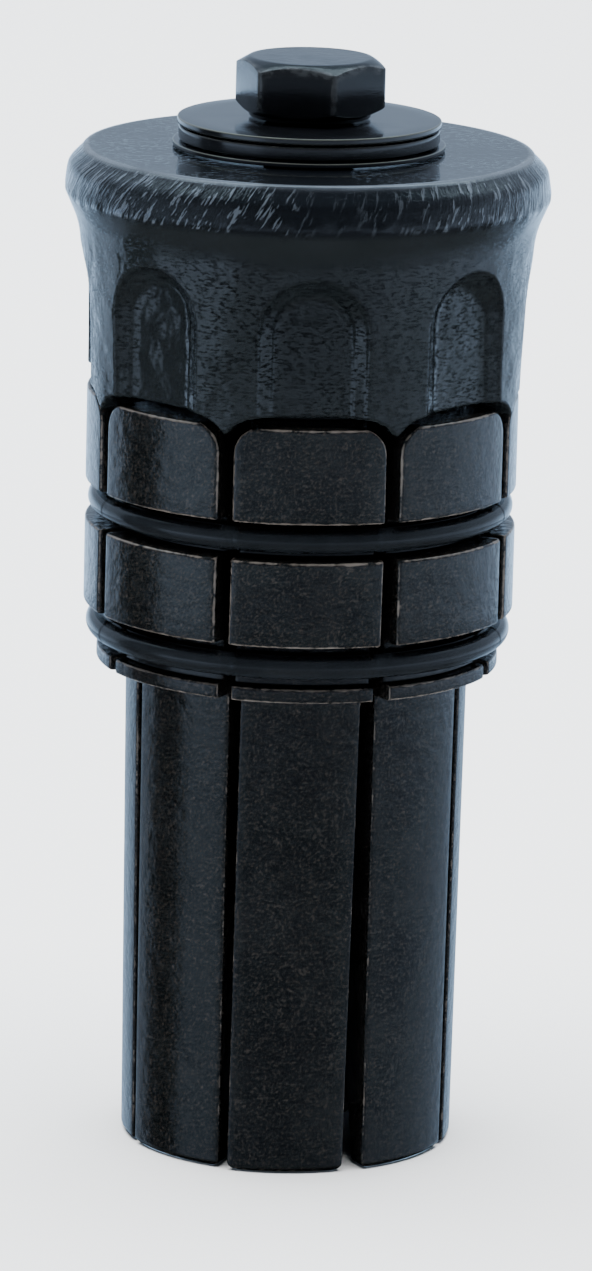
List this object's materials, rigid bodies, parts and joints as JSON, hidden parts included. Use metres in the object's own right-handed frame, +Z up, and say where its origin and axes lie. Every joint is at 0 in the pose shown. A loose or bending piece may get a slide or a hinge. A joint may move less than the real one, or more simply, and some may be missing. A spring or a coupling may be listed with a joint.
{
  "type": "pipe expander",
  "caption": "Hand tool that widens a pipe's end: a hex bolt draws an octagonal mandrel up inside spring-ringed segments under a fluted collar.",
  "frame": {"origin": "on the bolt's axis, at the level of the fingers' feet that the tool stands on", "axes": "+Z up along the bolt's axis to its head; -Y out through the middle of the first segment"},
  "size_m": [0.0694, 0.0694, 0.1581],
  "materials": {
    "forged_steel": "black oxide on a rough forged skin, oiled",
    "blackened_steel": "black oxide on turned and milled faces, oiled",
    "bolt_steel": "black oxide, smooth",
    "washer_steel": "black oxide, polished faces",
    "rubber": "smooth black nitrile rubber"
  },
  "bodies": {
    "collar_group": {"collar": "forged_steel", "lower_washer": "washer_steel", "thrust_washer": "washer_steel", "upper_o_ring": "rubber", "lower_o_ring": "rubber"},
    "bolt_group": {"bolt": "bolt_steel", "top_washer": "washer_steel", "stop_ring": "bolt_steel"},
    "mandrel_group": {"mandrel": "blackened_steel"},
    "segment_group_1": {"segment_1": "blackened_steel"},
    "segment_group_2": {"segment_2": "blackened_steel"},
    "segment_group_3": {"segment_3": "blackened_steel"},
    "segment_group_4": {"segment_4": "blackened_steel"},
    "segment_group_5": {"segment_5": "blackened_steel"},
    "segment_group_6": {"segment_6": "blackened_steel"},
    "segment_group_7": {"segment_7": "blackened_steel"},
    "segment_group_8": {"segment_8": "blackened_steel"}
  },
  "joints": [
    {"name": "bolt_turn", "type": "hinge", "parent": "collar_group", "child": "bolt_group", "pos_m": [0, 0, 0.15], "axis": [0, 0, -1], "range_deg": [0, 2901]},
    {"name": "mandrel_lift", "type": "slide", "parent": "collar_group", "child": "mandrel_group", "axis": [0, 0, 1], "range_m": [0, 0.01574]},
    {"name": "segment_spread_1", "type": "slide", "parent": "collar_group", "child": "segment_group_1", "axis": [0, -1, 0], "range_m": [0, 0.0025], "deforming": ["upper_o_ring", "lower_o_ring"]},
    {"name": "segment_spread_2", "type": "slide", "parent": "collar_group", "child": "segment_group_2", "axis": [0.7071, -0.7071, 0], "range_m": [0, 0.0025]},
    {"name": "segment_spread_3", "type": "slide", "parent": "collar_group", "child": "segment_group_3", "axis": [1, 0, 0], "range_m": [0, 0.0025]},
    {"name": "segment_spread_4", "type": "slide", "parent": "collar_group", "child": "segment_group_4", "axis": [0.7071, 0.7071, 0], "range_m": [0, 0.0025]},
    {"name": "segment_spread_5", "type": "slide", "parent": "collar_group", "child": "segment_group_5", "axis": [0, 1, 0], "range_m": [0, 0.0025]},
    {"name": "segment_spread_6", "type": "slide", "parent": "collar_group", "child": "segment_group_6", "axis": [-0.7071, 0.7071, 0], "range_m": [0, 0.0025]},
    {"name": "segment_spread_7", "type": "slide", "parent": "collar_group", "child": "segment_group_7", "axis": [-1, 0, 0], "range_m": [0, 0.0025]},
    {"name": "segment_spread_8", "type": "slide", "parent": "collar_group", "child": "segment_group_8", "axis": [-0.7071, -0.7071, 0], "range_m": [0, 0.0025]}
  ],
  "couplings": [
    {"joint": "bolt_turn", "follows": "mandrel_lift", "rad_per_m": 3215.8},
    {"joint": "segment_spread_1", "follows": "mandrel_lift", "ratio": 0.15838},
    {"joint": "segment_spread_2", "follows": "mandrel_lift", "ratio": 0.15838},
    {"joint": "segment_spread_3", "follows": "mandrel_lift", "ratio": 0.15838},
    {"joint": "segment_spread_4", "follows": "mandrel_lift", "ratio": 0.15838},
    {"joint": "segment_spread_5", "follows": "mandrel_lift", "ratio": 0.15838},
    {"joint": "segment_spread_6", "follows": "mandrel_lift", "ratio": 0.15838},
    {"joint": "segment_spread_7", "follows": "mandrel_lift", "ratio": 0.15838},
    {"joint": "segment_spread_8", "follows": "mandrel_lift", "ratio": 0.15838}
  ]
}
